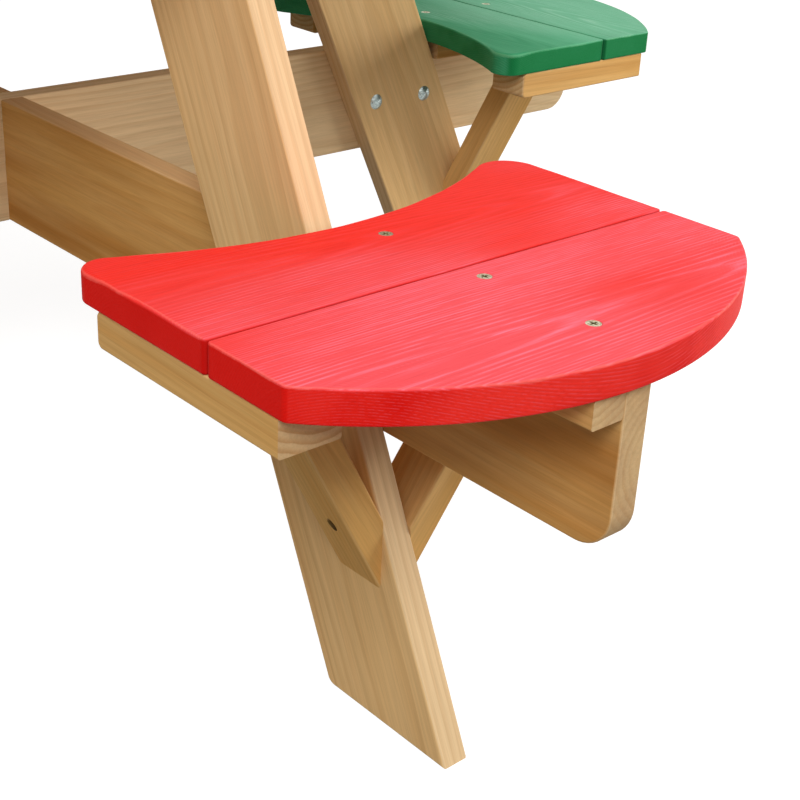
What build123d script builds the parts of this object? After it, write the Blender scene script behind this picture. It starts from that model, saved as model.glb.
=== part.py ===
from build123d import *
import os
from math import atan2, cos, radians, sin, sqrt, tan

# A round picnic table for children. Two long bearers cross at the centre and carry a seat at each
# end. A splayed leg on each of the four arms is bolted to the side of its bearer and runs on up to
# the rails under the round top. Millimetres, +Z up, origin on the ground below the table's centre.
# On each arm x points out along the bearer, and the leg stands on the bearer's -y side.

# Round top
table_height = 500.0
top_thickness = 18.0
top_seat_gap = 43.0             # between the top's rim and the hollow of a seat, seen from above
top_board_count = 7
top_board_gap = 4.0
top_edge_radius = 3.0
top_corner_radius = 4.0
top_batten_start = 22.0         # from the table's centre line to the batten's inner end
top_batten_setback = 13.0       # from the top's rim to the batten's outer end
top_batten_overlap = 40.6       # how far the batten runs under the outermost board

# Rails under the top and bearers under the seats, boards on edge
beam_thickness = 18.0
beam_end_radius = 22.0
lap_clearance = 0.1             # on each side of a half-lap
rail_end_margin = 23.0          # from the leg's outer bolt to the rail's end
rail_depth = 70.0
bearer_end_setback = 3.5        # from the seat's outermost point
bearer_depth = 91.5

# Seats
seat_height = 284.0
seat_thickness = 18.0
seat_width = 320.0
seat_reach = 603.5              # from the table's centre to the seat's outermost point
seat_outer_radius = 216.5
seat_outer_offset = 1.5         # centre of the round edge, like seat_offset
seat_inner_radius = 280.0
seat_inner_offset = -8.5        # centre of the hollow edge, like seat_offset
seat_outer_board_width = 126.5  # from the seat's outermost point to the joint between its boards
seat_joint_gap = 1.5
seat_offset = 3.0               # the boards sit off the bearer's centre line, away from the leg
seat_edge_radius = 3.0
seat_joint_edge_radius = 1.2
seat_inner_corner_leg_side = 14.0
seat_inner_corner_far_side = 21.0
seat_outer_corner_radius = 5.0
seat_leg_clearance = 0.6

# Legs
leg_width = 93.0
leg_thickness = 18.0
leg_splay = 25.4                # degrees from upright
leg_foot_setback = 84.0         # from the seat's outermost point to the foot's outer corner
leg_toe_radius = 7.0

# Battens under the seats' ends and under the top
batten_width = 36.0
batten_thickness = 20.5
batten_nose_radius = 4.0
seat_batten_length = 148.0
seat_batten_spread = 312.0      # over the outer faces of a seat's two battens
seat_batten_setback = 1.5       # from the seat's outer corner

# Cleat beside the bearer
cleat_width = 22.0
cleat_height = 16.0
cleat_end_setback = 0.6         # from the bearer's end
cleat_leg_clearance = 1.0

# Braces
brace_width = 36.0
brace_thickness = 21.0
brace_foot_height = 90.0
brace_setback = 61.0            # from the foot's outer corner to the near brace's outward face
brace_far_shift = 3.5           # the far brace stands this much further out
pocket_distance = 47.0          # from the brace's tip up along its underside to the screw hole
pocket_drop = 20.0              # degrees that the foot's screw points down
pocket_stagger = 10.0           # far brace's screw off its middle, so that a leg's screws pass each other
pocket_wood = 14.0              # from a pocket's floor to the leg or the batten

# Eased edges of the plain timbers
timber_edge_radius = 1.5

# Countersunk wood screws
screw_diameter = 4.0
screw_head_diameter = 8.0
screw_head_angle = 90.0
screw_head_sink = 0.3           # head below the wood's surface
screw_clearance = 0.1
screw_tip_length = 5.0
screw_recess_width = 1.2
screw_recess_length = 4.6
screw_recess_depth = 1.5
pilot_spare = 1.0               # hole beyond the screw's tip
long_screw_length = 42.0
short_screw_length = 29.0
seat_screw_steps = (-60.5, 15.5, 89.0)      # from the joint between the seat boards
seat_batten_screw_steps = (-74.0, -24.0, 18.0, 42.0)
cleat_bearer_screw_steps = (-38.0, 52.0)
cleat_seat_screw_steps = (-14.0, 76.0)
top_screw_share = 0.25                      # of a top board's stretch over a rail, from each end
top_middle_screw_setbacks = (240.0, 120.0)  # from the top's rim, along the middle board
top_batten_screw_margin = 14.0              # from a top board's long edge

# Pan head screws of the braces
pan_screw_diameter = 3.5
pan_head_diameter = 6.4
pan_head_height = 2.4
pan_recess_length = 3.6
pan_screw_grip = 12.0                       # length of the screw in the leg or the batten
pan_pocket_diameter = 7.0

# Leg bolts with washers and nuts
bolt_diameter = 6.0
bolt_clearance = 0.2
bolt_head_diameter = 13.2
bolt_head_height = 3.4
bolt_spread = 56.0                          # between the two bolts of a joint
bolt_end_length = 2.5                       # bolt beyond the nut
washer_diameter = 14.0
washer_thickness = 1.2
nut_width = 10.0
nut_height = 5.0

# Places worked out from the sizes above
seat_underside = seat_height - seat_thickness
bearer_bottom = seat_underside - bearer_depth
bearer_middle = seat_underside - bearer_depth / 2
beam_face = beam_thickness / 2
top_underside = table_height - top_thickness
rail_bottom = top_underside - rail_depth
rail_middle = top_underside - rail_depth / 2

leg_slope = tan(radians(leg_splay))
leg_level_width = leg_width / cos(radians(leg_splay))
leg_face = beam_face + leg_thickness
leg_foot_distance = seat_reach - leg_foot_setback
leg_top_distance = leg_foot_distance - leg_slope * top_underside
bearer_length = 2 * (seat_reach - bearer_end_setback)

seat_half = seat_width / 2
seat_ends = (seat_offset - seat_half, seat_offset + seat_half)
seat_joint_distance = seat_reach - seat_outer_board_width
seat_outer_centre = seat_reach - seat_outer_radius
seat_corners = [
    seat_outer_centre + sqrt(seat_outer_radius**2 - (end - seat_outer_offset)**2) for end in seat_ends
]
leg_edge_at_seat = leg_foot_distance - leg_slope * (seat_underside + seat_edge_radius)
seat_hollow_at_leg = seat_inner_radius - sqrt(seat_inner_radius**2 - (leg_face + seat_inner_offset)**2)
seat_inner_apex = leg_edge_at_seat + seat_leg_clearance + seat_hollow_at_leg

top_radius = seat_inner_apex - top_seat_gap
top_board_width = (2 * top_radius - (top_board_count - 1) * top_board_gap) / top_board_count
top_batten_end = top_radius - top_board_width + top_batten_overlap
top_batten_outer = sqrt(top_radius**2 - (top_batten_end + top_batten_setback)**2)
top_batten_distance = top_batten_outer - batten_width / 2

batten_outer = seat_batten_spread / 2
batten_inner = batten_outer - batten_width
batten_middle = batten_outer - batten_width / 2
batten_underside = seat_underside - batten_thickness
seat_batten_centre = min(seat_corners) - seat_batten_setback - seat_batten_length / 2

cleat_face = beam_face + cleat_width
cleat_middle = beam_face + cleat_width / 2
cleat_underside = seat_underside - cleat_height
cleat_start = leg_foot_distance - leg_slope * cleat_underside + cleat_leg_clearance
cleat_end = bearer_length / 2 - cleat_end_setback

brace_rise = seat_underside - brace_foot_height

screw_hole = screw_diameter / 2 + screw_clearance
screw_sink = screw_head_diameter / 2 + screw_clearance + screw_head_sink
pan_hole = pan_screw_diameter / 2 + screw_clearance
bolt_hole = bolt_diameter / 2 + bolt_clearance
bolt_grip = leg_thickness + beam_thickness

arms = {"red": 0.0, "green": 90.0, "blue": 180.0, "yellow": 270.0}
sides = {"leg_side": -1, "far_side": 1}


def arm_level(turn, height, facing=1):
    # Level plane at a height: x out along the arm, facing up (1) or down (-1).
    out = (cos(radians(turn)), sin(radians(turn)), 0)
    return Plane(origin=(0, 0, height), x_dir=out, z_dir=(0, 0, facing))


def arm_side(turn, offset):
    # Upright plane along the arm: x outward, y up, facing the leg's side of the bearer.
    out = (cos(radians(turn)), sin(radians(turn)), 0)
    side = (sin(radians(turn)), -cos(radians(turn)), 0)
    return Plane(origin=(offset * side[0], offset * side[1], 0), x_dir=out, z_dir=side)


def arm_across(turn, distance):
    # Upright plane across the arm: x away from the leg's side, y up, facing outward.
    out = (cos(radians(turn)), sin(radians(turn)), 0)
    across = (-sin(radians(turn)), cos(radians(turn)), 0)
    return Plane(origin=(distance * out[0], distance * out[1], 0), x_dir=across, z_dir=out)


def axis_of(direction):
    # A direction as an axis to select by.
    return Axis((0, 0, 0), direction)


def on_plane(plane, places):
    # Locations at places given in a plane's own x and y.
    return [plane.location * Location((x, y, 0)) for x, y in places]


def from_below(turn, height, places):
    # Locations that face down, at places given as outward and across.
    return on_plane(arm_level(turn, height, -1), [(x, -y) for x, y in places])


def bolt_places(height):
    # The two bolts of a leg joint, one each side of the leg's centre line, as outward and up.
    middle = leg_foot_distance - leg_level_width / 2 - leg_slope * height
    return [(middle - bolt_spread / 2, height), (middle + bolt_spread / 2, height)]


# A rail ends a margin beyond the leg's outer bolt
rail_length = 2 * (bolt_places(rail_middle)[1][0] + rail_end_margin)


def seat_screw_places():
    return [(seat_joint_distance + step, seat_offset) for step in seat_screw_steps]


def seat_batten_screw_places(side):
    return [(seat_joint_distance + step, side * batten_middle) for step in seat_batten_screw_steps]


def cleat_seat_screw_places():
    return [(seat_joint_distance + step, -cleat_middle) for step in cleat_seat_screw_steps]


def cleat_bearer_screw_places():
    # As outward and up.
    height = seat_underside - cleat_height / 2
    return [(seat_joint_distance + step, height) for step in cleat_bearer_screw_steps]


def top_board_middle(number):
    return (number - (top_board_count - 1) / 2) * (top_board_width + top_board_gap)


def top_board_screw_rows(number):
    # Two screws across a top board, on its stretch over the rail along x.
    low = max(top_board_middle(number) - top_board_width / 2, -rail_length / 2)
    high = min(top_board_middle(number) + top_board_width / 2, rail_length / 2)
    return [low + share * (high - low) for share in (top_screw_share, 1 - top_screw_share)]


def top_screw_places(beam):
    # Screws of every top board into the rail along x, or a row down the middle board.
    if beam == "y":
        steps = [top_radius - setback for setback in top_middle_screw_setbacks]
        return [(0, side * step) for step in steps for side in (-1, 1)]
    return [(row, 0) for number in range(top_board_count) for row in top_board_screw_rows(number)]


def top_batten_screw_places():
    # One screw near each long edge of a top board that a batten reaches. The middle board's screws
    # keep clear of the batten's inner end.
    first = top_batten_start + screw_head_diameter
    last = top_batten_end - screw_head_diameter
    step = top_board_width / 2 - top_batten_screw_margin
    middles = [top_board_middle(number) for number in range(top_board_count)]
    steps = [max(step, first) if abs(middle) < step else step for middle in middles]
    rows = [middle + side * reach for middle, reach in zip(middles, steps) for side in (-1, 1)]
    rows = [row for row in rows if first <= abs(row) <= last]
    return [(row, side * top_batten_distance) for row in rows for side in (-1, 1)]


def brace_foot(side):
    # A brace stands on the leg's outer face or on its face towards the bearer.
    return -leg_face if side < 0 else -beam_face


def brace_outer_distance(side):
    # The brace beyond the bearer stands further out than the one on the leg's outer face.
    return leg_foot_distance - brace_setback + max(side, 0) * brace_far_shift


def brace_lean(side):
    # A brace's angle from level: its underside runs from the foot into the batten's upper corner.
    return atan2(brace_rise, batten_inner - side * brace_foot(side))


def foot_screw(turn, side):
    # Place of the screw at a brace's foot: on the leg's face, with z back along the screw.
    lean = brace_lean(side)
    drop = radians(pocket_drop)
    height = brace_foot_height + pocket_distance * (sin(lean) - cos(lean) * tan(drop))
    middle = brace_outer_distance(side) - brace_width / 2
    plane = arm_across(turn, middle - max(side, 0) * pocket_stagger)
    back = plane.x_dir * (side * cos(drop)) + plane.y_dir * sin(drop)
    place = plane.from_local_coords((brace_foot(side), height))
    return Location(Plane(place, x_dir=plane.z_dir, z_dir=back))


def head_screw(turn, side):
    # Place of the screw at a brace's head: on the batten's inner face, with z back along the screw.
    plane = arm_across(turn, brace_outer_distance(side) - brace_width / 2)
    place = plane.from_local_coords((side * batten_inner, seat_underside - batten_thickness / 2))
    return Location(Plane(place, x_dir=plane.z_dir, z_dir=plane.x_dir * -side))


def save(piece, node):
    piece.label = node
    export_step(piece, f"parts/{node}.step")


os.makedirs("parts", exist_ok=True)


# Bearers and rails: boards on edge with rounded lower ends, half-lapped where they cross
def crossed_beam(turn, bottom, depth, length, lap_up):
    with BuildPart() as beam:
        with BuildSketch(arm_side(turn, -beam_face)) as outline:
            with Locations((0, bottom + depth / 2)):
                Rectangle(length, depth)
            fillet(outline.vertices().group_by(Axis.Y)[0], beam_end_radius)
        extrude(amount=beam_thickness)
        broad_faces = beam.faces().filter_by(axis_of(arm_side(turn, 0).z_dir))
        fillet(broad_faces.edges(), timber_edge_radius)
        with BuildSketch(arm_side(turn, -beam_thickness)):
            with Locations((0, bottom + (0.75 if lap_up else 0.25) * depth)):
                Rectangle(beam_thickness + 2 * lap_clearance, depth / 2)
        extrude(amount=2 * beam_thickness, mode=Mode.SUBTRACT)
    return beam.part


for beam, turns in {"x": (0.0, 180.0), "y": (90.0, 270.0)}.items():
    blank = crossed_beam(turns[0], bearer_bottom, bearer_depth, bearer_length, beam == "x")
    with BuildPart() as bearer:
        add(blank)
        for turn in turns:
            with Locations(on_plane(arm_side(turn, beam_face), bolt_places(bearer_middle))):
                Hole(bolt_hole)
            with Locations(on_plane(arm_side(turn, beam_face), cleat_bearer_screw_places())):
                Hole(screw_hole, depth=short_screw_length - cleat_width + pilot_spare)
            with Locations(on_plane(arm_level(turn, seat_underside), seat_screw_places())):
                Hole(screw_hole, depth=long_screw_length - seat_thickness + pilot_spare)
    save(bearer.part, f"bearer_{beam}")

    blank = crossed_beam(turns[0], rail_bottom, rail_depth, rail_length, beam == "x")
    with BuildPart() as rail:
        add(blank)
        for turn in turns:
            with Locations(on_plane(arm_side(turn, beam_face), bolt_places(rail_middle))):
                Hole(bolt_hole)
        with Locations(on_plane(arm_level(0, top_underside), top_screw_places(beam))):
            Hole(screw_hole, depth=long_screw_length - top_thickness + pilot_spare)
    save(rail.part, f"top_rail_{beam}")


# Legs: splayed boards, cut level at the foot and under the top
for colour, turn in arms.items():
    with BuildPart() as leg:
        with BuildSketch(arm_side(turn, beam_face)) as outline:
            with BuildLine():
                Polyline(
                    (leg_foot_distance - leg_level_width, 0),
                    (leg_foot_distance, 0),
                    (leg_top_distance, top_underside),
                    (leg_top_distance - leg_level_width, top_underside),
                    close=True,
                )
            make_face()
            fillet(outline.vertices().group_by(Axis.Y)[0].sort_by(Axis.X)[0], leg_toe_radius)
        extrude(amount=leg_thickness)
        broad_faces = leg.faces().filter_by(axis_of(arm_side(turn, 0).z_dir))
        fillet(broad_faces.edges(), timber_edge_radius)
        bolts = bolt_places(bearer_middle) + bolt_places(rail_middle)
        with Locations(on_plane(arm_side(turn, leg_face), bolts)):
            Hole(bolt_hole)
        with Locations([foot_screw(turn, side) for side in sides.values()]):
            Hole(pan_hole, depth=pan_screw_grip + pilot_spare)
    save(leg.part, f"{colour}_leg")


# Seat boards: one outline with a hollow inner edge and a round outer edge, cut at the joint
def seat_board(turn, inner):
    seat_top = arm_level(turn, seat_height)
    hollow_centre = seat_inner_apex - seat_inner_radius
    hollow = [
        hollow_centre + sqrt(seat_inner_radius**2 - (end - seat_inner_offset)**2) for end in seat_ends
    ]
    away = -1 if inner else 1
    edge = seat_joint_distance + away * seat_joint_gap / 2
    screws = [at for at in seat_screw_places() if away * (at[0] - edge) > 0]
    batten_pilots = seat_batten_screw_places(-1) + seat_batten_screw_places(1)
    batten_pilots = [at for at in batten_pilots if away * (at[0] - edge) > 0]
    cleat_pilots = [at for at in cleat_seat_screw_places() if away * (at[0] - edge) > 0]
    with BuildPart() as board:
        with BuildSketch(seat_top) as outline:
            with BuildLine():
                ThreePointArc(
                    (hollow[0], seat_ends[0]),
                    (seat_inner_apex, seat_inner_offset),
                    (hollow[1], seat_ends[1]),
                )
                Line((hollow[1], seat_ends[1]), (seat_corners[1], seat_ends[1]))
                ThreePointArc(
                    (seat_corners[1], seat_ends[1]),
                    (seat_reach, seat_outer_offset),
                    (seat_corners[0], seat_ends[0]),
                )
                Line((seat_corners[0], seat_ends[0]), (hollow[0], seat_ends[0]))
            make_face()
            leg_side = outline.vertices().filter_by_position(Axis.Y, -seat_width, 0)
            fillet(leg_side.sort_by(Axis.X)[:1], seat_inner_corner_leg_side)
            far_side = outline.vertices().filter_by_position(Axis.Y, 0, seat_width)
            fillet(far_side.sort_by(Axis.X)[:1], seat_inner_corner_far_side)
            fillet(outline.vertices().sort_by(Axis.X)[-2:], seat_outer_corner_radius)
            with Locations((edge + away * seat_reach / 2, seat_offset)):
                Rectangle(seat_reach, 2 * seat_width, mode=Mode.INTERSECT)
        extrude(amount=-seat_thickness)
        joint = axis_of(arm_across(turn, 0).x_dir)
        fillet(board.faces().filter_by(Axis.Z).edges().filter_by(joint), seat_joint_edge_radius)
        rims = board.faces().filter_by(Axis.Z).edges().filter_by(joint, reverse=True)
        fillet(rims, seat_edge_radius)
        with Locations(on_plane(seat_top, screws)):
            CounterSinkHole(screw_hole, screw_sink, counter_sink_angle=screw_head_angle)
        with Locations(from_below(turn, seat_underside, batten_pilots)):
            Hole(screw_hole, depth=short_screw_length - batten_thickness + pilot_spare)
        with Locations(from_below(turn, seat_underside, cleat_pilots)):
            Hole(screw_hole, depth=short_screw_length - cleat_height + pilot_spare)
    return board.part


for colour, turn in arms.items():
    save(seat_board(turn, inner=True), f"{colour}_seat_inner_board")
    save(seat_board(turn, inner=False), f"{colour}_seat_outer_board")


# Battens under the seats' ends, with a rounded inner end
for colour, turn in arms.items():
    outward = axis_of(arm_across(turn, 0).z_dir)
    for side_name, side in sides.items():
        with BuildPart() as batten:
            with BuildSketch(arm_level(turn, seat_underside)):
                with Locations((seat_batten_centre, side * batten_middle)):
                    Rectangle(seat_batten_length, batten_width)
            extrude(amount=-batten_thickness)
            nose = batten.faces().sort_by(outward)[0]
            fillet(nose.edges().filter_by(Axis.Z, reverse=True), batten_nose_radius)
            fillet(batten.edges().filter_by(outward), timber_edge_radius)
            with Locations(from_below(turn, batten_underside, seat_batten_screw_places(side))):
                CounterSinkHole(screw_hole, screw_sink, counter_sink_angle=screw_head_angle)
            with Locations(head_screw(turn, side)):
                Hole(pan_hole, depth=pan_screw_grip + pilot_spare)
        save(batten.part, f"{colour}_seat_batten_{side_name}")


# Cleats beside the bearers, outward of the legs
for colour, turn in arms.items():
    outward = axis_of(arm_across(turn, 0).z_dir)
    with BuildPart() as cleat:
        with BuildSketch(arm_level(turn, seat_underside)):
            with Locations(((cleat_start + cleat_end) / 2, -cleat_middle)):
                Rectangle(cleat_end - cleat_start, cleat_width)
        extrude(amount=-cleat_height)
        fillet(cleat.edges().filter_by(outward), timber_edge_radius)
        with Locations(on_plane(arm_side(turn, cleat_face), cleat_bearer_screw_places())):
            CounterSinkHole(screw_hole, screw_sink, counter_sink_angle=screw_head_angle)
        with Locations(from_below(turn, cleat_underside, cleat_seat_screw_places())):
            CounterSinkHole(screw_hole, screw_sink, counter_sink_angle=screw_head_angle)
    save(cleat.part, f"{colour}_cleat")


# Braces from the leg's faces up into the corners under the seat's ends
for colour, turn in arms.items():
    for side_name, side in sides.items():
        lean = brace_lean(side)
        foot = brace_foot(side)
        with BuildPart() as brace:
            with BuildSketch(arm_across(turn, brace_outer_distance(side) - brace_width)):
                with BuildLine():
                    Polyline(
                        (foot, brace_foot_height),
                        (side * batten_inner, seat_underside),
                        (side * (batten_inner - brace_thickness / sin(lean)), seat_underside),
                        (foot, brace_foot_height + brace_thickness / cos(lean)),
                        close=True,
                    )
                make_face()
            extrude(amount=brace_width)
            end = arm_across(turn, 0)
            along = axis_of(end.x_dir * (side * cos(lean)) + end.y_dir * sin(lean))
            fillet(brace.edges().filter_by(along), timber_edge_radius)
            for screw in (foot_screw(turn, side), head_screw(turn, side)):
                with Locations(screw):
                    Hole(pan_hole, depth=brace_width)
                with Locations(screw * Location((0, 0, pocket_wood + brace_width))):
                    Hole(pan_pocket_diameter / 2, depth=brace_width)
        save(brace.part, f"{colour}_brace_{side_name}")


# Top boards: strips of the round top, the middle one over the rail along y
for number in range(top_board_count):
    middle = top_board_middle(number)
    reach = top_board_width / 2
    screws = top_screw_places("x") + top_screw_places("y")
    screws = [at for at in screws if abs(at[0] - middle) < reach]
    pilots = [at for at in top_batten_screw_places() if abs(at[0] - middle) < reach]
    with BuildPart() as board:
        with BuildSketch(Plane.XY.offset(top_underside)) as outline:
            Circle(top_radius)
            with Locations((middle, 0)):
                Rectangle(top_board_width, 2 * top_radius, mode=Mode.INTERSECT)
            fillet(outline.vertices(), top_corner_radius)
        extrude(amount=top_thickness)
        fillet(board.faces().filter_by(Axis.Z).edges(), top_edge_radius)
        with Locations(on_plane(Plane.XY.offset(table_height), screws)):
            CounterSinkHole(screw_hole, screw_sink, counter_sink_angle=screw_head_angle)
        with Locations(from_below(0, top_underside, pilots)):
            Hole(screw_hole, depth=short_screw_length - batten_thickness + pilot_spare)
    save(board.part, f"top_board_{number + 1}")


# Battens under the top boards, one in each quarter
for quarter, side_x, side_y in (("a", 1, 1), ("b", -1, 1), ("c", -1, -1), ("d", 1, -1)):
    screws = [at for at in top_batten_screw_places() if at[0] * side_x > 0 and at[1] * side_y > 0]
    with BuildPart() as batten:
        with BuildSketch(Plane.XY.offset(top_underside)):
            with Locations((side_x * (top_batten_start + top_batten_end) / 2, side_y * top_batten_distance)):
                Rectangle(top_batten_end - top_batten_start, batten_width)
        extrude(amount=-batten_thickness)
        fillet(batten.edges().filter_by(Axis.X), timber_edge_radius)
        with Locations(from_below(0, top_underside - batten_thickness, screws)):
            CounterSinkHole(screw_hole, screw_sink, counter_sink_angle=screw_head_angle)
    save(batten.part, f"top_batten_{quarter}")


# Countersunk screw pointing down from the wood's surface
def wood_screw(length):
    head = screw_head_diameter / 2
    shank = screw_diameter / 2
    neck = (head - shank) / tan(radians(screw_head_angle / 2))
    with BuildPart() as screw:
        with BuildSketch(Plane.XZ):
            with BuildLine():
                Polyline(
                    (0, -screw_head_sink),
                    (head, -screw_head_sink),
                    (shank, -screw_head_sink - neck),
                    (shank, screw_tip_length - length),
                    (0, -length),
                    close=True,
                )
            make_face()
        revolve(axis=Axis.Z)
        with BuildSketch(Plane.XY.offset(-screw_head_sink)):
            Rectangle(screw_recess_length, screw_recess_width)
            Rectangle(screw_recess_width, screw_recess_length)
        extrude(amount=-screw_recess_depth, mode=Mode.SUBTRACT)
    return screw.part


# Pan head screw pointing down from the leg's or the batten's face, its head on the pocket's floor
pan_top = pocket_wood + pan_head_height
with BuildPart() as pan_screw:
    with BuildSketch(Plane.XZ):
        with BuildLine():
            TangentArc((0, pan_top), (pan_head_diameter / 2, pocket_wood), tangent=(1, 0))
            Polyline(
                (pan_head_diameter / 2, pocket_wood),
                (pan_screw_diameter / 2, pocket_wood),
                (pan_screw_diameter / 2, screw_tip_length - pan_screw_grip),
                (0, -pan_screw_grip),
                (0, pan_top),
            )
        make_face()
    revolve(axis=Axis.Z)
    with BuildSketch(Plane.XY.offset(pan_top)):
        Rectangle(pan_recess_length, screw_recess_width)
        Rectangle(screw_recess_width, pan_recess_length)
    extrude(amount=-screw_recess_depth, mode=Mode.SUBTRACT)

# Dome head bolt pointing down from the leg's outer face, with its washer and nut
bolt_length = bolt_grip + washer_thickness + nut_height + bolt_end_length
with BuildPart() as bolt:
    with BuildSketch(Plane.XZ):
        with BuildLine():
            TangentArc((0, bolt_head_height), (bolt_head_diameter / 2, 0), tangent=(1, 0))
            Polyline(
                (bolt_head_diameter / 2, 0),
                (bolt_diameter / 2, 0),
                (bolt_diameter / 2, -bolt_length),
                (0, -bolt_length),
                (0, bolt_head_height),
            )
        make_face()
    revolve(axis=Axis.Z)

with BuildPart() as washer:
    with BuildSketch(Plane.XY.offset(-bolt_grip)):
        Circle(washer_diameter / 2)
        Circle(bolt_hole, mode=Mode.SUBTRACT)
    extrude(amount=-washer_thickness)

with BuildPart() as nut:
    with BuildSketch(Plane.XY.offset(-bolt_grip - washer_thickness)):
        RegularPolygon(nut_width / 2, 6, major_radius=False)
        Circle(bolt_hole, mode=Mode.SUBTRACT)
    extrude(amount=-nut_height)


# The fasteners in their places, identical ones of a joint together
seat_screws = []
seat_batten_screws = []
cleat_screws = []
brace_screws = []
leg_bolts = []
for turn in arms.values():
    seat_screws += on_plane(arm_level(turn, seat_height), seat_screw_places())
    cleat_screws += on_plane(arm_side(turn, cleat_face), cleat_bearer_screw_places())
    cleat_screws += from_below(turn, cleat_underside, cleat_seat_screw_places())
    leg_bolts += on_plane(arm_side(turn, leg_face), bolt_places(bearer_middle))
    leg_bolts += on_plane(arm_side(turn, leg_face), bolt_places(rail_middle))
    for side in sides.values():
        seat_batten_screws += from_below(turn, batten_underside, seat_batten_screw_places(side))
        brace_screws += [foot_screw(turn, side), head_screw(turn, side)]
top_screws = on_plane(Plane.XY.offset(table_height), top_screw_places("x") + top_screw_places("y"))
top_batten_screws = from_below(0, top_underside - batten_thickness, top_batten_screw_places())

long_screw = wood_screw(long_screw_length)
short_screw = wood_screw(short_screw_length)
fasteners = {
    "seat_screws": (long_screw, seat_screws),
    "seat_batten_screws": (short_screw, seat_batten_screws),
    "cleat_screws": (short_screw, cleat_screws),
    "brace_screws": (pan_screw.part, brace_screws),
    "leg_bolts": (bolt.part, leg_bolts),
    "leg_washers": (washer.part, leg_bolts),
    "leg_nuts": (nut.part, leg_bolts),
    "top_screws": (long_screw, top_screws),
    "top_batten_screws": (short_screw, top_batten_screws),
}
for node, (fastener, places) in fasteners.items():
    with BuildPart() as group:
        with Locations(places):
            add(fastener)
    save(group.part, node)
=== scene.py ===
import bpy
import math
import numpy as np
from functools import reduce
from mathutils import Euler, Matrix, Vector


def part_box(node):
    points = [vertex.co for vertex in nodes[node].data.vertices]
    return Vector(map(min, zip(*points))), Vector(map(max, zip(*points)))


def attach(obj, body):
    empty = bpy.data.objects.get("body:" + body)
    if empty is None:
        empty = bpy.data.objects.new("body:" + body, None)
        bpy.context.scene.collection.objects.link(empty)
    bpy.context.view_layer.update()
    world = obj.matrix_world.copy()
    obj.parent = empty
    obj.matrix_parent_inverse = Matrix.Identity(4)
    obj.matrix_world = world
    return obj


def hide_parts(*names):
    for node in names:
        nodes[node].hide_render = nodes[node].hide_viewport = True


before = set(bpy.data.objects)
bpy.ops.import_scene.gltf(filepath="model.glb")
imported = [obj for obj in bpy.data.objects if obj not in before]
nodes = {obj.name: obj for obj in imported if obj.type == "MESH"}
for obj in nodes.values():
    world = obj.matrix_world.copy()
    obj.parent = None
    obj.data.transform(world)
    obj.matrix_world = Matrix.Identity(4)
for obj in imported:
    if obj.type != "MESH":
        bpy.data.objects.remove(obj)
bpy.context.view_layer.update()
mm = 0.001
print("frame loaded,", len(nodes), "pieces")

# the four arms of the table, named for their seats, and how far each is turned
arms = {"red": 0.0, "green": 90.0, "blue": 180.0, "yellow": 270.0}
armTurn = {arm: Matrix.Rotation(math.radians(angle), 3, "Z") for arm, angle in arms.items()}


def paint(r, g, b):
    # colour as seen on a screen (0 to 255) to the linear values that shaders use
    c = np.array([r, g, b]) / 255.0
    lin = np.where(c <= 0.04045, c / 12.92, ((c + 0.055) / 1.055) ** 2.4)
    return (*lin.tolist(), 1.0)


def ease(low, high, value):
    # smooth step from 0 at low to 1 at high
    t = np.clip((value - low) / (high - low), 0.0, 1.0)
    return t * t * (3.0 - 2.0 * t)


def waves(x, y, seed, acrossRange, alongRange, count=36):
    # Sum of sine waves with random phase. Each has a wavelength across the grain (x) and one along it (y)
    # drawn from the two ranges. The sum is scaled to stay mostly between -1 and 1.
    dice = np.random.RandomState(seed)
    across = 2 * math.pi / dice.uniform(*acrossRange, count)
    along = 2 * math.pi / dice.uniform(*alongRange, count) * dice.choice([-1, 1], count)
    phase = dice.uniform(0, 2 * math.pi, count)
    total = np.sin(x[..., None] * across + y[..., None] * along + phase).sum(-1)
    return total / math.sqrt(2.0 * count)


def roundOver(gap, radius):
    # how far a rounded edge lies below the flat at a distance from the outline: a quarter circle, then 0
    drop = radius - np.sqrt(np.maximum(radius ** 2 - (radius - gap) ** 2, 0))
    return np.where(gap < radius, drop, 0)


# Seat boards, shaped on the red arm: each is a sheet over the board's plan whose edge rolls down,
# a wall and an under sheet.
lowInner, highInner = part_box("red_seat_inner_board")
lowOuter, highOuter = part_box("red_seat_outer_board")
seat = {
    "top": highOuter.z, "under": lowOuter.z, "reach": highOuter.x, "ends": (lowOuter.y, highOuter.y),
    "middle": (lowOuter.y + highOuter.y) / 2, "jointInner": highInner.x, "jointOuter": lowOuter.x,
    # plan: round outer edge, hollow inner edge, corners at the two ends
    "roundRadius": 216.5 * mm, "roundOffset": 1.5 * mm,
    "hollowRadius": 280 * mm, "hollowOffset": -8.5 * mm, "hollowApex": 392.981 * mm,
    "corner": {"inner": (14 * mm, 21 * mm), "outer": (5 * mm, 5 * mm)}, "jointCorner": 2.4 * mm,
    # rounding of the edges, uneven by wear, less at the joint and more at the hollow's two corners
    "edge": {"inner": 1.5 * mm, "outer": 1.0 * mm}, "jointEdge": 1.0 * mm, "underEdge": 1.2 * mm,
    "edgeWear": 0.5 * mm, "wearWave": (18 * mm, 90 * mm), "jointFade": (1 * mm, 7 * mm),
    "softCorner": 3.0 * mm, "softReach": 26 * mm,
    "screws": {"inner": (416.5 * mm,), "outer": (492.5 * mm, 566 * mm)},
    "sinkRadius": 4.4 * mm, "sinkFloor": 2.2 * mm,
    # where one sits, worn stain and painted sheen: from the hollow edge outwards, most at this y and less
    # away from it
    "wearAndSheenBand": (372 * mm, 515 * mm), "wearAndSheenMiddle": -45 * mm, "wearAndSheenReach": 170 * mm, "wearAndSheenLoss": 0.45,
    "seamBand": (0.4 * mm, 4 * mm),
    "seed": {"inner": 40, "outer": 45}, "seedStep": 10,
}
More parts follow.
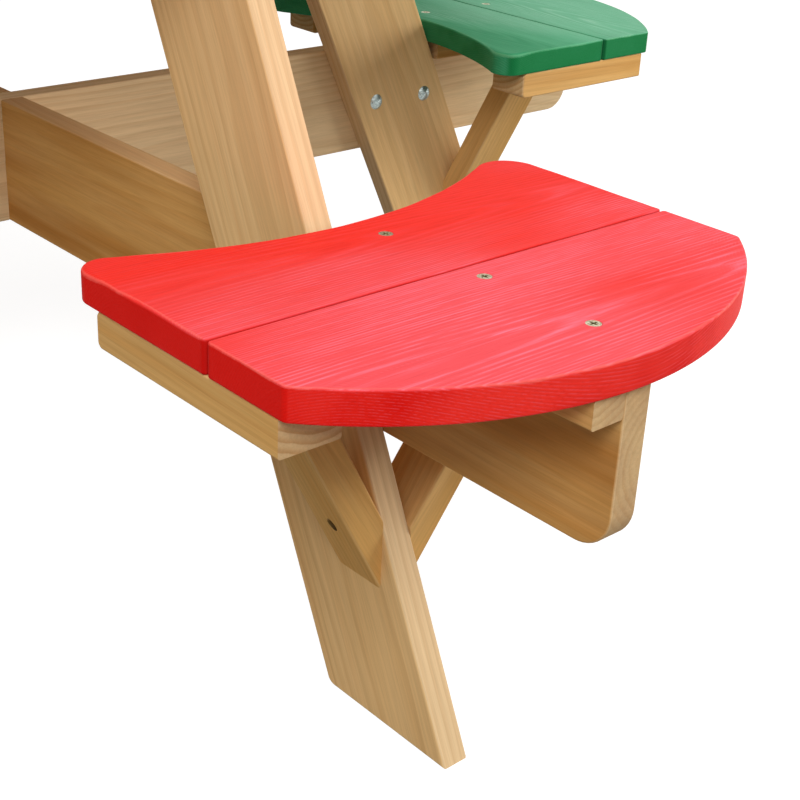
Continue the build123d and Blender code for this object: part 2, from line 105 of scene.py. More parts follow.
# grid of a seat board: steps at the outline, even steps between, fine cells around each screw
seatGrid = {
    "edgeSteps": np.array([0, 0.06, 0.22, 0.5, 0.9, 1.4, 2.0, 2.7, 3.5]) * mm,
    "step": 0.75 * mm, "rowStep": 3.0 * mm, "wallRows": 7, "cornerRows": 14, "cornerFrom": 0.35,
    "patch": 8.8 * mm, "patchCells": 16, "patchFade": (0.6, 1.0),
}
# relief of the grain: ridges along the board, deeper in some patches, none at the edges and screws
relief = {
    "depth": 0.055 * mm, "grooveLevel": 0.55, "grooveSlope": 0.6,
    "ridge": ((1.9 * mm, 6.5 * mm), (300 * mm, 900 * mm), 48),
    "patch": ((50 * mm, 200 * mm), (120 * mm, 400 * mm), 12), "patchBand": (-0.5, 0.9), "patchLeast": 0.4,
    "calmEdge": 5 * mm, "calmSink": 0.2 * mm,
}


def seatCurve(part):
    # Centre and radius of the board's curved edge in plan, x of its joint line, and the joint's side:
    # 1 on the inner board, which lies outside its circle, -1 on the outer board, which lies inside.
    if part == "inner":
        hub = seat["hollowApex"] - seat["hollowRadius"]
        return hub, seat["hollowOffset"], seat["hollowRadius"], seat["jointInner"], 1
    hub = seat["reach"] - seat["roundRadius"]
    return hub, seat["roundOffset"], seat["roundRadius"], seat["jointOuter"], -1


def seatCorners(part):
    # The four rounded corners in plan: centre, radius and the outward normals of the two edges that meet.
    # Each end has first its corner at the joint, then its corner at the curved edge. That one's circle
    # touches the end line, and the hollow's circle from outside or the round edge's circle from inside.
    hubX, hubY, radius, joint, side = seatCurve(part)
    corners = []
    for end, sign, bend in zip(seat["ends"], (1, -1), seat["corner"][part]):
        endWay = np.array([0, -sign])
        r = seat["jointCorner"]
        corners.append((np.array([joint - side * r, end + sign * r]), r, np.array([side, 0]), endWay))
        y = end + sign * bend
        reach = radius + side * bend
        centre = np.array([hubX + math.sqrt(reach ** 2 - (y - hubY) ** 2), y])
        out = (centre - np.array([hubX, hubY])) / reach
        corners.append((centre, bend, -side * out, endWay))
    return corners


def seatLimits(part, y):
    # Lowest and highest x of the board at each y: joint line, hollow or round arc, with the corner circles.
    hubX, hubY, radius, joint, side = seatCurve(part)
    curved = hubX + np.sqrt(radius ** 2 - (y - hubY) ** 2)
    straight = np.full_like(y, joint)
    low, high = (curved, straight) if part == "inner" else (straight, curved)
    for centre, r, first, second in seatCorners(part):
        touch = centre[1] + r * first[1]
        zone = y < touch if second[1] < 0 else y > touch
        half = np.sqrt(np.maximum(r ** 2 - (y - centre[1]) ** 2, 0))
        if first[0] < 0:
            low = np.where(zone, centre[0] - half, low)
        else:
            high = np.where(zone, centre[0] + half, high)
    return low, high


def seatDistance(part, x, y):
    # Distance in plan from each point to the board's outline: the least distance to the four edges,
    # and in the wedge of a corner circle its radius less the distance to its centre.
    # The distance to the joint line comes with it.
    hubX, hubY, radius, jointX, side = seatCurve(part)
    curved = side * (np.hypot(x - hubX, y - hubY) - radius)
    joint = side * (jointX - x)
    gap = np.minimum.reduce([curved, joint, y - seat["ends"][0], seat["ends"][1] - y])
    for centre, r, first, second in seatCorners(part):
        qx, qy = x - centre[0], y - centre[1]
        turn = first[0] * second[1] - first[1] * second[0]
        a = (qx * second[1] - qy * second[0]) / turn
        b = (first[0] * qy - first[1] * qx) / turn
        gap = np.where((a > 0) & (b > 0), r - np.hypot(qx, qy), gap)
    return np.maximum(gap, 0), joint


def gridStations(low, high, step, fine):
    # Stations from low to high: crowded at both ends, even between, with even fine cells around each screw.
    edge = seatGrid["edgeSteps"]
    patch = seatGrid["patch"]
    even = np.linspace(low, high, int((high - low) / step) + 1)[1:-1]
    even = even[(even > low + edge[-1] + step / 2) & (even < high - edge[-1] - step / 2)]
    parts = [low + edge, high - edge]
    for centre in fine:
        even = even[np.abs(even - centre) > patch + step / 3]
        parts.append(np.linspace(centre - patch, centre + patch, 2 * seatGrid["patchCells"] + 1))
    return np.sort(np.concatenate(parts + [even]))


def seatPlan(part):
    # Plan of a board's grid: rows run across the seat (y), columns from the board's low edge to its high
    # edge (x). Squares around a screw are pulled into circles, so that the countersink is round.
    # The depth of the countersinks comes with it.
    screws = seat["screws"][part]
    corner = seat["corner"][part]
    bend = 1 - np.cos(np.linspace(seatGrid["cornerFrom"], math.pi / 2, seatGrid["cornerRows"]))
    rowY = gridStations(*seat["ends"], seatGrid["rowStep"], [seat["middle"]])
    rowY = np.concatenate([rowY, seat["ends"][0] + corner[0] * bend, seat["ends"][1] - corner[1] * bend])
    rowY = np.unique(rowY.round(7))
    low, high = seatLimits(part, rowY)
    lowMid, highMid = [v[0] for v in seatLimits(part, np.array([seat["middle"]]))]
    share = (gridStations(lowMid, highMid, seatGrid["step"], screws) - lowMid) / (highMid - lowMid)
    x = low[:, None] + share * (high - low)[:, None]
    y = np.repeat(rowY[:, None], len(share), 1)

    patch = seatGrid["patch"]
    sink = np.zeros_like(x)
    for at in screws:
        a, b = (x - at) / patch, (y - seat["middle"]) / patch
        ring = np.maximum(np.abs(a), np.abs(b))
        near = (ring > 1e-9) & (ring <= 1)
        pull = np.where(near, ring / np.maximum(np.hypot(a, b), 1e-9), 1)
        pull = pull + (1 - pull) * ease(*seatGrid["patchFade"], ring)
        x = np.where(near, at + a * pull * patch, x)
        y = np.where(near, seat["middle"] + b * pull * patch, y)
        depth = seat["sinkRadius"] - np.hypot(x - at, y - seat["middle"])
        sink = np.maximum(sink, np.clip(depth, 0, seat["sinkFloor"]))
    return x, y, sink


def edgeRadius(part, x, y, joint, seed):
    # Radius of the rounding at each point: the board's own, more or less by slow waves of wear,
    # more towards the hollow's corners, and the joint's own radius near the joint.
    wear = 0.5 * waves(x, y, seed + 1, seat["wearWave"], seat["wearWave"])
    radius = seat["edge"][part] + seat["edgeWear"] * wear
    if part == "inner":
        for centre, *rest in seatCorners(part)[1::2]:
            near = np.hypot(x - centre[0], y - centre[1])
            radius = radius + seat["softCorner"] * (1 - ease(0, seat["softReach"], near))
    return seat["jointEdge"] + (radius - seat["jointEdge"]) * ease(*seat["jointFade"], joint)


def seatBoard(part, seed):
    # Points, quads and attributes of one board in the arm's own frame.
    # Height of the top: the flat, less the rounded edge, the countersinks and the grooves of the grain.
    x, y, sink = seatPlan(part)
    gap, joint = seatDistance(part, x, y)
    ridge = waves(x, y, seed + 2, *relief["ridge"])
    patch = ease(*relief["patchBand"], waves(x, y, seed + 3, *relief["patch"]))
    patch = relief["patchLeast"] + (1 - relief["patchLeast"]) * patch
    groove = np.clip(relief["grooveLevel"] - relief["grooveSlope"] * ridge, 0, 1)
    quiet = ease(0, relief["calmEdge"], gap) * (1 - ease(0, relief["calmSink"], sink))
    roll = roundOver(gap, edgeRadius(part, x, y, joint, seed))
    topZ = seat["top"] - roll - sink - relief["depth"] * patch * groove * quiet
    underZ = seat["under"] + roundOver(gap, seat["underEdge"])

    # points: top sheet, under sheet, then the rows of the wall along the outline's loop
    rows, cols = x.shape
    count = rows * cols
    wallRows = seatGrid["wallRows"]
    index = np.arange(count).reshape(rows, cols)
    loop = np.concatenate([index[0, :-1], index[:-1, -1], index[-1, :0:-1], index[:0:-1, 0]])
    flatX, flatY, topZ, underZ = x.ravel(), y.ravel(), topZ.ravel(), underZ.ravel()
    down = np.linspace(0, 1, wallRows + 2)[1:-1, None]
    wallZ = topZ[loop] + down * (underZ[loop] - topZ[loop])
    wallX = np.repeat(flatX[loop][None], wallRows, 0)
    wallY = np.repeat(flatY[loop][None], wallRows, 0)
    points = np.concatenate([
        np.stack([flatX, flatY, topZ], 1),
        np.stack([flatX, flatY, underZ], 1),
        np.stack([wallX.ravel(), wallY.ravel(), wallZ.ravel()], 1),
    ])
    quad = np.stack([index[:-1, :-1], index[:-1, 1:], index[1:, 1:], index[1:, :-1]], -1).reshape(-1, 4)
    wallIndex = 2 * count + np.arange(wallX.size).reshape(wallX.shape)
    ladder = np.concatenate([loop[None], wallIndex, (count + loop)[None]])
    after = np.roll(ladder, -1, 1)
    wall = np.stack([ladder[:-1], ladder[1:], after[1:], after[:-1]], -1).reshape(-1, 4)
    quads = np.concatenate([quad, quad[:, ::-1] + count, wall])

    # attributes: distance in mm from the rim line (below it negative), ridge of the grain, countersink,
    # joint, and the place where one sits, of worn stain and painted sheen
    thickness = seat["top"] - seat["under"]
    rim = np.concatenate([gap.ravel(), np.full(count, -thickness), (wallZ - topZ[loop]).ravel()])
    grain = np.concatenate([np.clip(0.5 + 0.5 * ridge, 0, 1).ravel(), np.full(count + wallX.size, 0.5)])
    hollowed = np.concatenate([(sink / seat["sinkFloor"]).ravel(), np.zeros(count + wallX.size)])
    seam = 1 - ease(*seat["seamBand"], joint.ravel())
    seam = np.concatenate([seam, seam, np.repeat(seam[loop][None], wallRows, 0).ravel()])
    aside = ease(0, seat["wearAndSheenReach"], np.abs(points[:, 1] - seat["wearAndSheenMiddle"]))
    wearAndSheen = ease(*seat["wearAndSheenBand"], points[:, 0]) * (1 - seat["wearAndSheenLoss"] * aside)
    return points, quads, {"rim": rim / mm, "grain": grain, "sink": hollowed, "seam": seam, "wearAndSheen": wearAndSheen}


def addObject(name, data):
    made = bpy.data.objects.new(name, data)
    bpy.context.scene.collection.objects.link(made)
    return made


def meshPiece(name, points, quads, values):
    mesh = bpy.data.meshes.new(name)
    mesh.vertices.add(len(points))
    mesh.vertices.foreach_set("co", points.astype(np.float32).ravel())
    mesh.loops.add(quads.size)
    mesh.loops.foreach_set("vertex_index", quads.astype(np.int32).ravel())
    mesh.polygons.add(len(quads))
    mesh.polygons.foreach_set("loop_start", np.arange(0, quads.size, 4, dtype=np.int32))
    mesh.polygons.foreach_set("use_smooth", np.ones(len(quads), dtype=bool))
    for key, value in values.items():
        layer = mesh.attributes.new(key, "FLOAT", "POINT")
        layer.data.foreach_set("value", value.astype(np.float32))
    mesh.update(calc_edges=True)
    mesh.validate()
    return addObject(name, mesh)


seatPieces = {}
for number, arm in enumerate(arms):
    for part in ("inner", "outer"):
        points, quads, values = seatBoard(part, seat["seed"][part] + seat["seedStep"] * number)
        points = points @ np.array(armTurn[arm]).T
        piece = meshPiece(arm + "Seat" + part.capitalize(), points, quads, values)
        node = f"{arm}_seat_{part}_board"
        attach(piece, "root")
        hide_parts(node)
        seatPieces[node] = piece
    print(arm, "seat made,", len(quads), "quads on its outer board")


# node helpers
def put(tree, kind, inputs=None, **settings):
    made = tree.nodes.new(kind)
    for key, value in settings.items():
        setattr(made, key, value)
    for key, value in (inputs or {}).items():
        if isinstance(value, bpy.types.NodeSocket):
            tree.links.new(value, made.inputs[key])
        else:
            made.inputs[key].default_value = value
    return made


def calc(tree, operation, *values):
    return put(tree, "ShaderNodeMath", dict(enumerate(values)), operation=operation).outputs[0]


def times(tree, *values):
    return reduce(lambda a, b: calc(tree, "MULTIPLY", a, b), values)


def plus(tree, *values):
    return reduce(lambda a, b: calc(tree, "ADD", a, b), values)


def less(tree, first, second):
    return calc(tree, "SUBTRACT", first, second)


def between(tree, value, low, high, lowTo=0.0, highTo=1.0):
    # smooth step of a value from low to high
    made = put(tree, "ShaderNodeMapRange", {0: value, 1: low, 2: high, 3: lowTo, 4: highTo},
               interpolation_type="SMOOTHSTEP")
    return made.outputs[0]


def blend(tree, amount, first, second, mode="MIX"):
    made = put(tree, "ShaderNodeMix", {0: amount, 6: first, 7: second}, data_type="RGBA", blend_type=mode)
    return made.outputs[2]


def shade(tree, colour, level):
    # colour times a grey level
    grey = put(tree, "ShaderNodeCombineXYZ", {0: level, 1: level, 2: level}).outputs[0]
    return blend(tree, 1.0, colour, grey, "MULTIPLY")


def vector(tree, operation, *values):
    return put(tree, "ShaderNodeVectorMath", dict(enumerate(values)), operation=operation).outputs


def noise(tree, lay, fineness, detail, rough):
    # noise as a value and as a colour, with its fineness given across, through and along the board
    spread = vector(tree, "MULTIPLY", lay, fineness)[0]
    inputs = {"Vector": spread, "Scale": 1.0, "Detail": detail, "Roughness": rough}
    return put(tree, "ShaderNodeTexNoise", inputs).outputs


def field(tree, name):
    return put(tree, "ShaderNodeAttribute", attribute_name=name).outputs["Fac"]


def emptyTree(owner):
    owner.use_nodes = True
    owner.node_tree.nodes.clear()
    return owner.node_tree


def newFinish(name):
    finish = bpy.data.materials.new(name)
    tree = emptyTree(finish)
    shader = put(tree, "ShaderNodeBsdfPrincipled")
    put(tree, "ShaderNodeOutputMaterial", {0: shader.outputs[0]})
    return finish, tree, shader


# noise in all timber: fineness across, through and along the board (per metre), detail and roughness
figure = {
    "hair": ((2300, 2300, 40), 2.0, 0.5), "tone": ((22, 22, 3.4), 3.0, 0.55),
    "streak": ((105, 105, 2.4), 2.0, 0.5), "mottle": ((14, 14, 11), 3.0, 0.6),
    "band": ((34, 34, 1.8), 3.0, 0.5), "zone": ((9, 9, 5), 2.0, 0.5),
}
# growth rings: how they bend and wander, and where in a ring (0 to 1) early and late wood come and go
ringShape = {
    "bend": ((9, 9, 2.2), 3.0, 0.5), "wander": ((70, 70, 5), 2.0, 0.55), "wanderShare": 0.7,
    "lateRise": (0.2, 0.9), "lateFall": (1.0, 0.9), "earlyRise": (0.05, 0.25), "earlyFall": (0.6, 0.3),
}
# which way a face looks, by its normal's share along the grain, across the board, and along its nearest axis
faceSide = {"endOn": (0.55, 0.85), "narrow": (0.6, 0.85), "edge": (0.985, 0.86)}


def grainPattern(tree, lay, turn, wood):
    # Growth rings: distance from a pith line that runs along the board, bent by slow noise, divided by the
    # ring width. The fraction left over is the place in the ring: pale at first, dark at its end.
    spot = put(tree, "ShaderNodeTexCoord").outputs
    place = put(tree, "ShaderNodeMapping", {"Vector": spot["Object"], "Location": lay, "Rotation": turn},
                vector_type="TEXTURE").outputs[0]
    normal = put(tree, "ShaderNodeMapping", {"Vector": spot["Normal"], "Rotation": turn},
                 vector_type="TEXTURE").outputs[0]
    bend = vector(tree, "SUBTRACT", noise(tree, place, *ringShape["bend"])[1], (0.5, 0.5, 0.5))[0]
    bend = vector(tree, "MULTIPLY", bend, (wood["warp"], wood["warp"], 0.0))[0]
    flat = vector(tree, "MULTIPLY", vector(tree, "ADD", place, bend)[0], (1, 1, 0))[0]
    radius = vector(tree, "LENGTH", flat)[1]
    wander = times(tree, noise(tree, place, *ringShape["wander"])[0], ringShape["wanderShare"])
    count = plus(tree, calc(tree, "DIVIDE", radius, wood["ringWidth"]), wander)
    part = calc(tree, "FRACT", count)
    year = put(tree, "ShaderNodeTexWhiteNoise", {"W": calc(tree, "FLOOR", count)}, noise_dimensions="1D")
    away = vector(tree, "ABSOLUTE", normal)[0]
    sides = put(tree, "ShaderNodeSeparateXYZ", {0: away}).outputs
    most = calc(tree, "MAXIMUM", calc(tree, "MAXIMUM", sides[0], sides[1]), sides[2])
    pattern = {key: noise(tree, place, *spec)[0] for key, spec in figure.items()}
    pattern.update({
        "late": times(tree, *[between(tree, part, *ringShape[key]) for key in ("lateRise", "lateFall")]),
        "early": times(tree, *[between(tree, part, *ringShape[key]) for key in ("earlyRise", "earlyFall")]),
        "year": year.outputs[0],
        "fibre": noise(tree, place, *wood["fibre"])[0],
        "endOn": between(tree, sides[2], *faceSide["endOn"]),
        "narrow": between(tree, sides[0], *faceSide["narrow"]),
        "edge": between(tree, most, *faceSide["edge"]),
    })
    return pattern


def finishWood(tree, shader, base, grain, wood):
    # colour, roughness, gloss and bump of a board
    tree.links.new(base, shader.inputs["Base Color"])
    rough = plus(tree, wood["rough"], times(tree, grain["fibre"], wood["roughSpread"]))
    tree.links.new(rough, shader.inputs["Roughness"])
    shader.inputs["Specular IOR Level"].default_value = wood["gloss"]
    height = plus(tree, times(tree, grain["late"], wood["ringHeight"]),
                  times(tree, grain["fibre"], wood["fibreHeight"]))
    inputs = {"Strength": wood["bump"], "Distance": wood["bumpDepth"], "Height": height}
    tree.links.new(put(tree, "ShaderNodeBump", inputs).outputs[0], shader.inputs["Normal"])


# bare oiled pine, each board with its own cut of the log
pine = {
    # the brown colour is tone and painted shade; the last pale cream is painted light
    "pale": paint(236, 197, 134), "tan": paint(222, 175, 104), "brownAndShade": paint(166, 106, 42),
    "late": paint(172, 114, 50), "orange": paint(214, 152, 78), "end": paint(214, 189, 150),
    "worn": paint(238, 208, 162), "paintedLight": paint(231, 204, 163),
    "ringWidth": 4.6 * mm, "warp": 16 * mm, "fibre": ((600, 600, 14), 3.0, 0.6),
    # smooth steps of the noise, some with the values that they lead to
    "toneBand": (0.2, 0.8), "brownBand": (0.3, 0.7, 0.35, 1.0), "streakBand": (0.52, 0.74),
    "wornBand": (0.35, 0.65, 0.05, 0.35), "fibreShade": (0.28, 0.72, 0.94, 1.05),
    "hairShade": (0.3, 0.5, 0.93, 1.0), "pocketReach": 12 * mm, "pocketBand": (0.5, 0.95),
    # how far each layer covers the one below
    "streakShare": 0.3, "endShare": 0.6, "lateShare": 0.06, "lateByYear": 0.18,
    "rough": 0.6, "roughSpread": 0.2, "gloss": 0.01,
    "bump": 0.2, "bumpDepth": 0.4 * mm, "ringHeight": 0.3, "fibreHeight": 0.7,
}
# For each kind of timber, from 0 to 1: how brown it is (its tone, and painted shade on the kinds that lie in
# shade), how far its narrow sides and all its sides are paled with painted light, how dark the rings are on
# its ends, and how much painted shade darkens its bored pockets. The first kind that a node's name holds is
# the node's.
plainTimber = {"brownAndShade": 0.0, "narrow": 0.0, "paintedLight": 0.0, "rings": 0.3, "pocket": 0.0}
timber = {
    "bearer_x": {"brownAndShade": 0.93, "narrow": 0.4, "rings": 0.0},
    "bearer_y": {"narrow": 0.1, "paintedLight": 0.85, "rings": 0.0},
    "top_rail": {"brownAndShade": 0.5, "narrow": 0.2, "rings": 0.2},
    "batten": {"brownAndShade": 0.52},
    "cleat": {"brownAndShade": 0.8, "rings": 0.06},
    "brace": {"brownAndShade": 0.24, "pocket": 0.66},
    "leg": {"brownAndShade": 0.04, "narrow": 0.45, "paintedLight": 0.34},
    "board": {"brownAndShade": 0.3},
}


def pineFinish(name, lay, turn, kind):
    finish, tree, shader = newFinish(name)
    g = grainPattern(tree, lay, turn, pine)
    base = blend(tree, between(tree, g["tone"], *pine["toneBand"]), pine["tan"], pine["pale"])
    # tone, and painted shade: the kinds that lie in shade are made browner and darker
    brownAndShade = times(tree, between(tree, g["band"], *pine["brownBand"]), kind["brownAndShade"])
    base = blend(tree, brownAndShade, base, pine["brownAndShade"])
    streak = times(tree, between(tree, g["streak"], *pine["streakBand"]), pine["streakShare"])
    base = blend(tree, streak, base, pine["orange"])
    # painted light: narrow sides and whole pieces are paled towards a pale cream, standing in for the light
    # on them
    paintedLight = plus(tree, times(tree, g["narrow"], kind["narrow"]), kind["paintedLight"])
    base = blend(tree, paintedLight, base, pine["paintedLight"])
    base = blend(tree, times(tree, g["endOn"], pine["endShare"]), base, pine["end"])
    late = plus(tree, pine["lateShare"], times(tree, g["year"], pine["lateByYear"]),
                times(tree, g["endOn"], kind["rings"]))
    base = blend(tree, times(tree, g["late"], late), base, pine["late"])
    worn = times(tree, g["edge"], between(tree, g["mottle"], *pine["wornBand"]))
    base = blend(tree, worn, base, pine["worn"])
    base = shade(tree, base, between(tree, g["fibre"], *pine["fibreShade"]))
    base = shade(tree, base, between(tree, g["hair"], *pine["hairShade"]))
    if kind["pocket"]:
        # painted shade: a bored pocket is darkened inside, where the board itself hides most of what is near
        free = put(tree, "ShaderNodeAmbientOcclusion", {"Distance": pine["pocketReach"]}, only_local=True,
                   samples=8)
        paintedPocketShade = between(tree, free.outputs["AO"], *pine["pocketBand"], 1.0 - kind["pocket"], 1.0)
        base = shade(tree, base, paintedPocketShade)
    finishWood(tree, shader, base, g, pine)
    return finish


# coloured stain over the same pine
stains = {
    "red": {"deep": paint(245, 52, 43), "full": paint(242, 70, 70), "thinAndSheen": paint(255, 126, 146),
            "worn": paint(252, 116, 106), "end": paint(219, 16, 8), "line": paint(190, 14, 10)},
    "green": {"deep": paint(56, 148, 102), "full": paint(92, 176, 134), "thinAndSheen": paint(152, 204, 176),
              "worn": paint(112, 176, 132), "end": paint(10, 112, 56), "line": paint(6, 84, 42)},
    "blue": {"deep": paint(22, 76, 160), "full": paint(40, 104, 190), "thinAndSheen": paint(132, 170, 216),
             "worn": paint(132, 166, 206), "end": paint(14, 58, 134), "line": paint(8, 38, 96)},
    "yellow": {"deep": paint(232, 166, 16), "full": paint(246, 190, 36), "thinAndSheen": paint(255, 222, 128),
               "worn": paint(255, 220, 130), "end": paint(212, 144, 10), "line": paint(170, 108, 6)},
}
stainCoat = {
    "ringWidth": 1.4 * mm, "warp": 9 * mm, "fibre": ((620, 620, 30), 3.0, 0.6),
    # smooth steps of the noise and of the seat's attributes; the rim is in mm. The steps at the joint and at
    # the countersinks lead to painted shade
    "toneBand": (0.3, 0.7), "sideBand": (0.2, 0.6), "brokenBand": (0.36, 0.62), "zoneBand": (0.34, 0.66),
    "ridgeBand": (0.6, 0.95), "topBand": (-0.3, 0.6), "seamBand": (0.9, -0.6), "sinkShadeBand": (0.02, 0.4),
    "hairShade": (0.3, 0.5, 0.92, 1.0),
    # worn stain and painted sheen where one sits: middle of the attribute, and how far it raises tone and
    # zone
    "wearAndSheenTone": (0.5, 0.4), "wearAndSheenZone": (0.55, 0.42),
    # how far each layer covers the one below
    "endShare": 0.85, "lateShare": 0.13, "seamShadeShare": 0.85, "sinkShadeShare": 0.8,
    # pale lines of the grain: everywhere, more where one sits (worn stain and painted sheen) and in the
    # zones, and the zones' own wash
    "paleLeast": 0.08, "paleByWearAndSheen": 0.1, "paleByZone": 0.46, "zoneWash": 0.22, "ridgeWash": 0.16,
    # worn line along the rim: its place and half width in mm, how far noise and fibres push it, its share
    "wornAt": 0.7, "wornReach": 1.0, "wornSway": 6.0, "wornFray": 1.2, "wornShare": 0.45,
    "rough": 0.42, "roughSpread": 0.3, "gloss": 0.06,
    "bump": 0.24, "bumpDepth": 0.4 * mm, "ringHeight": 0.5, "fibreHeight": 0.6,
}


def stainFinish(name, look, lay, turn):
    finish, tree, shader = newFinish(name)
    coat = stainCoat
    g = grainPattern(tree, lay, turn, coat)
    rim, ridge, sink, seam, wearAndSheen = [field(tree, key) for key in ("rim", "grain", "sink", "seam", "wearAndSheen")]

    def leaned(value, middle, gain):
        # a value raised where one sits and lowered elsewhere: worn stain and painted sheen
        return plus(tree, value, times(tree, less(tree, wearAndSheen, middle), gain))

    onTop = between(tree, rim, *coat["topBand"])
    tone = leaned(g["tone"], *coat["wearAndSheenTone"])
    base = blend(tree, between(tree, tone, *coat["toneBand"]), look["deep"], look["full"])
    side = blend(tree, between(tree, g["mottle"], *coat["sideBand"]), look["end"], look["deep"])
    side = blend(tree, times(tree, g["endOn"], coat["endShare"]), side, look["end"])
    base = blend(tree, onTop, side, base)
    broken = between(tree, g["fibre"], *coat["brokenBand"])
    base = blend(tree, times(tree, g["late"], broken, coat["lateShare"]), base, look["line"])

    # pale lines of the grain: strong where one sits (worn stain and painted sheen), weak on the sides, none
    # on the end grain
    zone = between(tree, leaned(g["zone"], *coat["wearAndSheenZone"]), *coat["zoneBand"])
    zone = times(tree, zone, onTop)
    amount = plus(tree, coat["paleLeast"], times(tree, wearAndSheen, coat["paleByWearAndSheen"]))
    amount = times(tree, amount, less(tree, 1.0, g["endOn"]))
    amount = plus(tree, amount, times(tree, zone, coat["paleByZone"]))
    ridged = times(tree, between(tree, ridge, *coat["ridgeBand"]), zone, coat["ridgeWash"])
    pale = plus(tree, times(tree, g["early"], broken, amount), times(tree, zone, coat["zoneWash"]), ridged)
    base = blend(tree, pale, base, look["thinAndSheen"])

    # worn line along the rim; painted shade on the walls at the joint and in the countersinks
    sway = plus(tree, times(tree, less(tree, g["mottle"], 0.5), coat["wornSway"]),
                times(tree, less(tree, g["fibre"], 0.5), coat["wornFray"]))
    far = calc(tree, "ABSOLUTE", plus(tree, less(tree, rim, coat["wornAt"]), sway))
    kept = less(tree, 1.0, seam)
    worn = times(tree, between(tree, far, coat["wornReach"], 0.0), kept, coat["wornShare"])
    base = blend(tree, worn, base, look["worn"])
    # painted shade: the walls at the joint are darkened where the gap between the boards is shaded
    joint = times(tree, between(tree, rim, *coat["seamBand"]), seam, coat["seamShadeShare"])
    base = blend(tree, joint, base, look["line"])
    # painted shade in the countersinks
    sinkShade = times(tree, between(tree, sink, *coat["sinkShadeBand"]), coat["sinkShadeShare"])
    base = blend(tree, sinkShade, base, look["line"])
    base = shade(tree, base, between(tree, g["hair"], *coat["hairShade"]))
    finishWood(tree, shader, base, g, coat)
    return finish


# plated steel of the fasteners, with small dull spots
plating = {"bolt": {"bright": paint(178, 190, 186), "dull": paint(112, 122, 122), "rough": 0.26},
           "screw": {"bright": paint(222, 218, 186), "dull": paint(156, 150, 116), "rough": 0.24}}
dullSpots = {"noise": ((900, 900, 900), 4.0, 0.65), "band": (0.35, 0.7), "rough": 0.3}


def platedFinish(name, look):
    finish, tree, shader = newFinish(name)
    spot = put(tree, "ShaderNodeTexCoord").outputs["Object"]
    spots = noise(tree, spot, *dullSpots["noise"])[0]
    base = blend(tree, between(tree, spots, *dullSpots["band"]), look["bright"], look["dull"])
    tree.links.new(base, shader.inputs["Base Color"])
    shader.inputs["Metallic"].default_value = 1.0
    rough = plus(tree, look["rough"], times(tree, spots, dullSpots["rough"]))
    tree.links.new(rough, shader.inputs["Roughness"])
    return finish


# the log that each board is cut from: pith line tilted (degrees) and set behind and beside the board (mm)
log = {"seed": 100, "tilt": (0.5, 1.6), "behind": (30, 60), "beside": (-20, 20)}
legSplay = math.radians(25.4)
braceEnd = 20 * mm    # height that a brace's cut ends add to its rise


def grainWay(node):
    # direction of the grain and of the board's broad face, in the table's frame
    arm = node.split("_")[0]
    if arm in arms:
        spin = armTurn[arm]
        if node.endswith("_leg"):
            return spin @ Vector((-math.sin(legSplay), 0, math.cos(legSplay))), spin @ Vector((0, 1, 0))
        if "_brace_" in node:
            low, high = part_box(node)
            size = high - low
            side = -1 if "leg_side" in node else 1
            run = size.y if arm in ("red", "blue") else size.x
            along = (spin @ Vector((0, side, 0))) * run + Vector((0, 0, size.z - braceEnd))
            return along.normalized(), spin @ Vector((1, 0, 0))
        if "_board" in node:
            return spin @ Vector((0, 1, 0)), Vector((0, 0, 1))
        return spin @ Vector((1, 0, 0)), Vector((0, 0, 1))
    if node.startswith("top_board"):
        return Vector((0, 1, 0)), Vector((0, 0, 1))
    if node.endswith("_y"):
        return Vector((0, 1, 0)), Vector((1, 0, 0))
    if node.startswith("top_batten"):
        return Vector((1, 0, 0)), Vector((0, 0, 1))
    return Vector((1, 0, 0)), Vector((0, 1, 0))


def boardLay(node, number):
    # Place and turn of the log's pith line: behind the board's face, a little off its length.
    # Axes: width, face, grain.
    dice = np.random.RandomState(log["seed"] + number)
    along, face = grainWay(node)
    wide = along.cross(face).normalized()
    face = wide.cross(along).normalized()
    low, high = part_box(node)
    tilt = Matrix.Rotation(math.radians(dice.uniform(*log["tilt"])), 3, wide)
    axes = Matrix((tilt @ wide, tilt @ face, tilt @ along)).transposed()
    behind = dice.uniform(*log["behind"]) * mm * dice.choice([-1, 1])
    place = (low + high) / 2 + face * behind + wide * dice.uniform(*log["beside"]) * mm
    return place, axes.to_euler()


for number, (name, node) in enumerate(sorted(nodes.items())):
    piece = seatPieces.get(name, node)
    if name in seatPieces:
        finish = stainFinish(name + "Stain", stains[name.split("_")[0]], *boardLay(name, number))
    elif name in ("leg_bolts", "leg_washers", "leg_nuts"):
        finish = platedFinish(name + "Zinc", plating["bolt"])
    elif name.endswith("_screws"):
        finish = platedFinish(name + "Zinc", plating["screw"])
    else:
        kind = next(look for key, look in timber.items() if key in name)
        finish = pineFinish(name + "Pine", *boardLay(name, number), {**plainTimber, **kind})
    piece.data.materials.clear()
    piece.data.materials.append(finish)
print("finishes made")

# stage: white floor that keeps the shadow, and soft studio light
stage = {"reach": 12.0, "floorColour": 0.3, "floorGlow": 0.88, "air": 0.36, "airColour": (1.0, 0.94, 0.86, 1)}
lamps = {
    "keyLamp": {"at": (2.1, -1.7, 2.55), "size": 1.5, "power": 78},
    "topLamp": {"at": (0.9, 0.2, 3.2), "size": 2.2, "power": 18},
    "sideLamp": {"at": (1.0, 1.5, 0.55), "size": 0.8, "power": 14},
}
lampAim = Vector((0.45, 0.0, 0.25))


def seenDirectly(tree):
    # 1 for what the camera sees straight or in gloss and glass, else 0
    path = put(tree, "ShaderNodeLightPath").outputs
    mirrored = calc(tree, "MAXIMUM", path["Is Glossy Ray"], path["Is Transmission Ray"])
    return calc(tree, "MAXIMUM", path["Is Camera Ray"], mirrored)


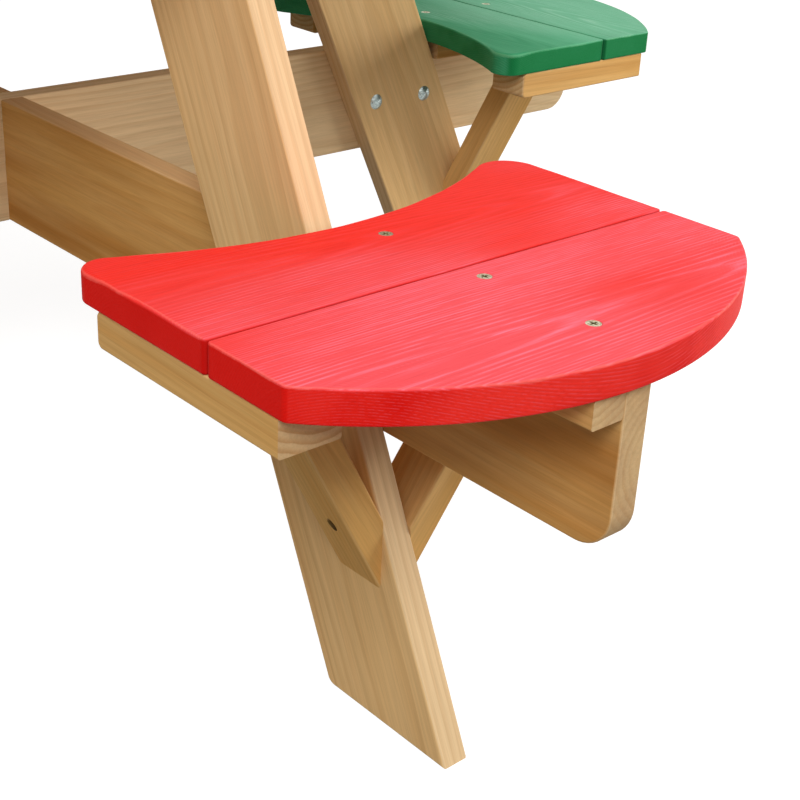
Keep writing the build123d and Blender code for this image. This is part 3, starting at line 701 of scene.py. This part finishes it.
reach = stage["reach"]
floorMesh = bpy.data.meshes.new("floor")
floorMesh.from_pydata([(-reach, -reach, 0), (reach, -reach, 0), (reach, reach, 0), (-reach, reach, 0)], [],
                      [(0, 1, 2, 3)])
floor = addObject("floor", floorMesh)
floorFinish = bpy.data.materials.new("floorWhite")
tree = emptyTree(floorFinish)
matt = put(tree, "ShaderNodeBsdfDiffuse", {"Color": (stage["floorColour"],) * 3 + (1,)})
glow = put(tree, "ShaderNodeEmission", {"Strength": times(tree, seenDirectly(tree), stage["floorGlow"])})
both = put(tree, "ShaderNodeAddShader", {0: matt.outputs[0], 1: glow.outputs[0]})
put(tree, "ShaderNodeOutputMaterial", {0: both.outputs[0]})
floorMesh.materials.append(floorFinish)

world = bpy.data.worlds.new("studio")
bpy.context.scene.world = world
tree = emptyTree(world)
airColour = blend(tree, seenDirectly(tree), stage["airColour"], (1, 1, 1, 1))
level = plus(tree, stage["air"], times(tree, seenDirectly(tree), 1.0 - stage["air"]))
air = put(tree, "ShaderNodeBackground", {"Color": airColour, "Strength": level})
put(tree, "ShaderNodeOutputWorld", {0: air.outputs[0]})

for name, lamp in lamps.items():
    light = bpy.data.lights.new(name, "AREA")
    light.size = lamp["size"]
    light.energy = lamp["power"]
    holder = addObject(name, light)
    holder.location = lamp["at"]
    holder.rotation_euler = (lampAim - holder.location).to_track_quat("-Z", "Y").to_euler()
print("stage lit")

# camera where the picture was taken: place, turn in degrees, and focal length in pixels of the square picture
shot = {"place": (976.61 * mm, -500.88 * mm, 554.27 * mm), "turn": (63.8156, -2.6706, 48.4014),
        "focal": 1475.48, "picture": 800, "sensor": 36.0, "near": 0.02, "far": 100.0}
camera = bpy.data.cameras.new("camera")
camera.sensor_width = shot["sensor"]
camera.lens = shot["focal"] * shot["sensor"] / shot["picture"]
camera.clip_start = shot["near"]
camera.clip_end = shot["far"]
holder = addObject("camera", camera)
turn = Euler([math.radians(angle) for angle in shot["turn"]])
holder.matrix_world = Matrix.LocRotScale(Vector(shot["place"]), turn, None)
bpy.context.scene.camera = holder
bpy.context.scene.view_settings.view_transform = "Standard"
